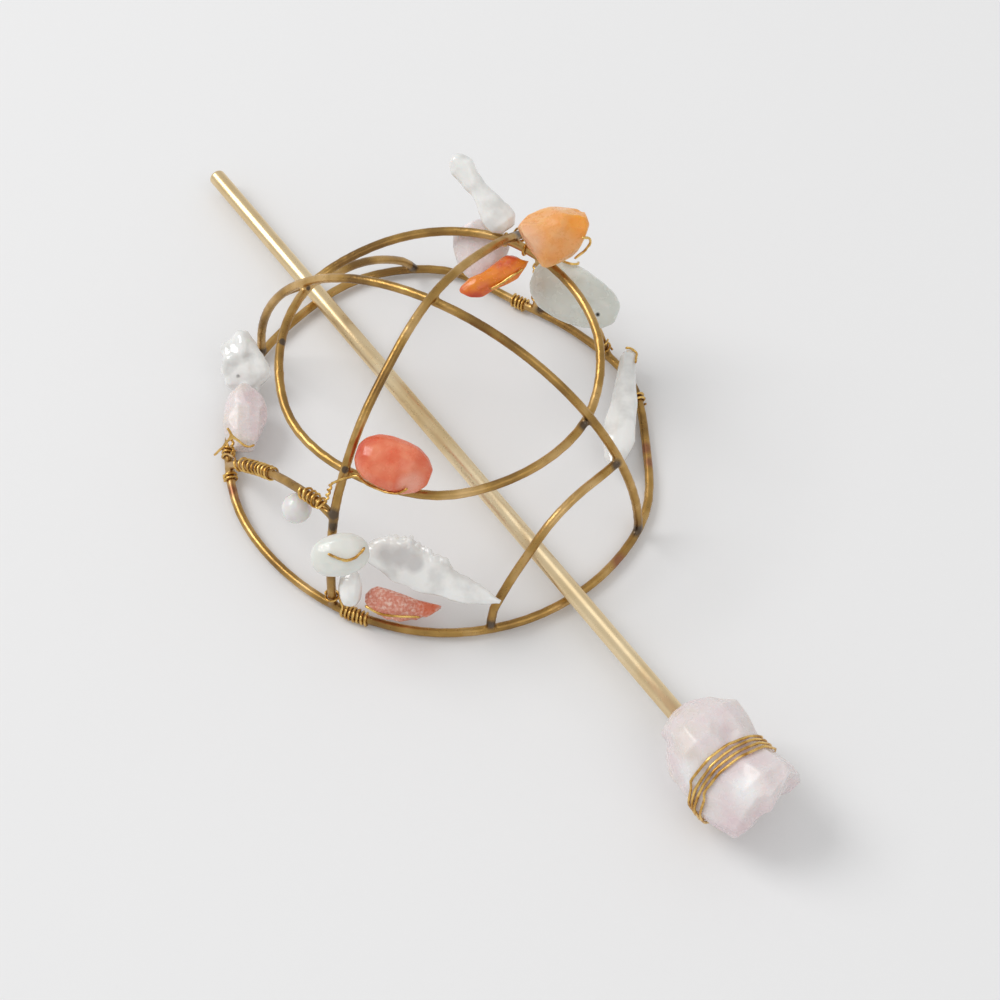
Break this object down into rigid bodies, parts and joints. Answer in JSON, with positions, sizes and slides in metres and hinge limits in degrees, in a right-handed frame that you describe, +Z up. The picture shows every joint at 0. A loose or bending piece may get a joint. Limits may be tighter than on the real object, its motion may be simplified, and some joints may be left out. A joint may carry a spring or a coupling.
{
  "type": "bun cage with hair stick",
  "caption": "Domed wire bun cage set with raw stones and baroque pearls, with a straight hair stick that ends in a raw rose quartz.",
  "frame": {"origin": "middle of the base ring, on the floor that the cage lies on", "axes": "+Z up through the top of the dome, +X to the right and +Y to the back as the picture shows it"},
  "size_m": [0.106, 0.1437, 0.0433],
  "materials": {
    "brass_wire": "aged satin brass wire",
    "brass_rod": "satin brass rod",
    "gilt_wire": "bright gilt wire",
    "rose_quartz": "raw milky pale rose quartz",
    "pearl": "lustrous white baroque pearl",
    "clear_bead": "small faceted clear bead",
    "carnelian": "polished orange-red carnelian",
    "moonstone": "polished blue-white moonstone",
    "salmon_stone": "raw salmon-pink stone",
    "peach_stone": "raw peach calcite",
    "grey_moonstone": "tumbled grey-green moonstone"
  },
  "bodies": {
    "cage": {"cage_frame": "brass_wire", "left_pearl": "pearl", "left_rose_quartz": "rose_quartz", "bar_bead": "clear_bead", "front_carnelian": "carnelian", "front_moonstone": "moonstone", "drop_pearl": "pearl", "wing_pearl": "pearl", "salmon_stone": "salmon_stone", "club_pearl": "pearl", "back_rose_quartz": "rose_quartz", "back_carnelian": "carnelian", "peach_stone": "peach_stone", "pale_moonstone": "grey_moonstone", "long_pearl": "pearl", "wrap_left": "gilt_wire", "wrap_bar": "gilt_wire", "wrap_front": "gilt_wire", "wrap_crown": "gilt_wire", "wrap_post": "gilt_wire", "wrap_back": "gilt_wire", "wrap_right": "gilt_wire", "coil_right": "gilt_wire", "tie_moonstone": "gilt_wire", "tie_peach": "gilt_wire", "tie_pale": "gilt_wire", "tie_long_pearl": "gilt_wire"},
    "stick": {"stick_shaft": "brass_rod", "stick_stone": "rose_quartz", "stick_binding": "gilt_wire"}
  },
  "joints": [
    {"name": "stick_slide", "type": "slide", "parent": "cage", "child": "stick", "axis": [0.5807, -0.8141, 0.0112], "range_m": [-0.03, 0.124]}
  ]
}
